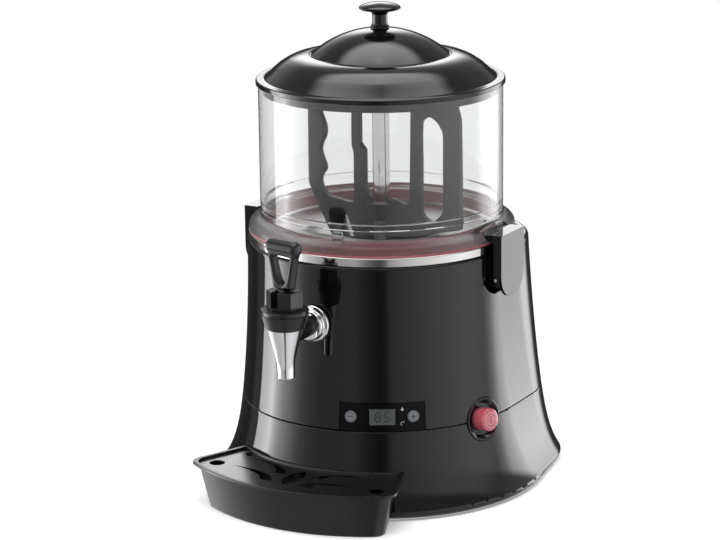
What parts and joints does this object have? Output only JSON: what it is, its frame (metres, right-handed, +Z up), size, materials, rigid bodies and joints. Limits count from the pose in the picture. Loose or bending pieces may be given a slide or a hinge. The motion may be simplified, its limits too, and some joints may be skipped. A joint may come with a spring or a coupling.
{
  "type": "hot chocolate dispenser",
  "caption": "Heated drinks dispenser with a flared black housing, clear bowl, turning stirrer, lid, side latches, front tap, drip tray and control panel.",
  "frame": {"origin": "centre of the footprint's bounding box, on the bench", "axes": "+Z up, the tap and drip tray face -Y, +X to the right seen from the front"},
  "size_m": [0.3222, 0.3792, 0.465],
  "materials": {
    "rubber_black": "matt",
    "red_rubber": "satin silicone",
    "gloss_black": "high gloss",
    "satin_black": "satin",
    "white_plastic": "matt",
    "clear_plastic": "clear polycarbonate",
    "red_plastic": "translucent gloss",
    "button_grey": "satin",
    "display_grey": "gloss window",
    "board_green": "printed board",
    "polished_steel": "polished stainless steel",
    "chrome": "mirror chrome",
    "sheet_steel": "brushed",
    "screw_steel": "bright zinc",
    "brass": "bright"
  },
  "bodies": {
    "machine": {"feet": "rubber_black", "base_plate": "sheet_steel", "base_screws": "screw_steel", "lower_skirt": "gloss_black", "upper_housing": "gloss_black", "rear_cover": "sheet_steel", "rear_screws": "screw_steel", "cable_gland": "satin_black", "water_jacket": "polished_steel", "chocolate_basin": "polished_steel", "heating_element": "sheet_steel", "thermostat": "white_plastic", "temperature_probe": "sheet_steel", "centre_column": "polished_steel", "shaft_bushings": "brass", "gear_motor": "sheet_steel", "motor_bracket": "sheet_steel", "motor_screws": "screw_steel", "power_board": "board_green", "board_posts": "brass", "bowl_gasket": "red_rubber", "bowl": "clear_plastic", "latch_bracket_left": "gloss_black", "latch_bracket_right": "gloss_black", "latch_pins": "screw_steel", "tap_rosette": "chrome", "tap_stem": "satin_black", "tap_nut": "brass", "tap_spout": "chrome", "tap_bonnet": "satin_black", "handle_pin": "screw_steel", "tap_spring": "screw_steel", "control_panel": "gloss_black", "display": "display_grey", "panel_board": "board_green", "power_bezel": "gloss_black", "power_switch": "satin_black"},
    "lid": {"lid": "satin_black", "lid_knob": "satin_black", "knob_screw": "screw_steel"},
    "stirrer": {"stirrer": "satin_black", "drive_shaft": "sheet_steel", "drive_gear": "white_plastic"},
    "pinion": {"motor_pinion": "brass", "motor_shaft": "sheet_steel"},
    "handle": {"tap_handle": "satin_black"},
    "valve": {"tap_plunger": "sheet_steel", "tap_seal": "red_rubber"},
    "left_latch": {"latch_left": "gloss_black"},
    "right_latch": {"latch_right": "gloss_black"},
    "power": {"power_button": "red_plastic"},
    "minus": {"minus_button": "button_grey"},
    "plus": {"plus_button": "button_grey"},
    "tray": {"drip_tray": "satin_black"},
    "grille": {"drip_grille": "satin_black"}
  },
  "joints": [
    {"name": "lid_lift", "type": "slide", "parent": "machine", "child": "lid", "axis": [0, 0, 1], "range_m": [0, 0.13]},
    {"name": "stirrer_turn", "type": "hinge", "parent": "machine", "child": "stirrer", "pos_m": [0, 0.02637, 0.3], "axis": [0, 0, 1], "continuous": true},
    {"name": "pinion_turn", "type": "hinge", "parent": "machine", "child": "pinion", "pos_m": [0, 0.06477, 0.12], "axis": [0, 0, 1], "continuous": true},
    {"name": "handle_tilt", "type": "hinge", "parent": "machine", "child": "handle", "pos_m": [0, -0.15763, 0.2237], "axis": [0.9877, -0.1564, 0], "range_deg": [0, 30], "stiffness_Nm_per_rad": 0.4, "springref_deg": -20.05},
    {"name": "valve_lift", "type": "slide", "parent": "machine", "child": "valve", "axis": [0, 0, 1], "range_m": [0, 0.004], "deforming": ["tap_spring"]},
    {"name": "left_latch_swing", "type": "hinge", "parent": "machine", "child": "left_latch", "pos_m": [-0.1354, 0.02637, 0.213], "axis": [0, -1, 0], "range_deg": [0, 20]},
    {"name": "right_latch_swing", "type": "hinge", "parent": "machine", "child": "right_latch", "pos_m": [0.1354, 0.02637, 0.213], "axis": [0, 1, 0], "range_deg": [0, 20]},
    {"name": "power_press", "type": "slide", "parent": "machine", "child": "power", "axis": [-0.9466, 0.2985, -0.122], "range_m": [0, 0.003], "stiffness_N_per_m": 300, "springref_m": -0.004},
    {"name": "minus_press", "type": "slide", "parent": "machine", "child": "minus", "axis": [-0.2743, 0.9565, -0.0995], "range_m": [0, 0.0008], "stiffness_N_per_m": 400, "springref_m": -0.002},
    {"name": "plus_press", "type": "slide", "parent": "machine", "child": "plus", "axis": [-0.6528, 0.751, -0.0995], "range_m": [0, 0.0008], "stiffness_N_per_m": 400, "springref_m": -0.002},
    {"name": "tray_slide", "type": "slide", "parent": "machine", "child": "tray", "axis": [0, -1, 0], "range_m": [0, 0.15]},
    {"name": "grille_lift", "type": "slide", "parent": "tray", "child": "grille", "axis": [0, 0, 1], "range_m": [0, 0.04]}
  ],
  "couplings": [
    {"joint": "pinion_turn", "follows": "stirrer_turn", "ratio": -3},
    {"joint": "valve_lift", "follows": "handle_tilt", "m_per_rad": 0.00764}
  ]
}
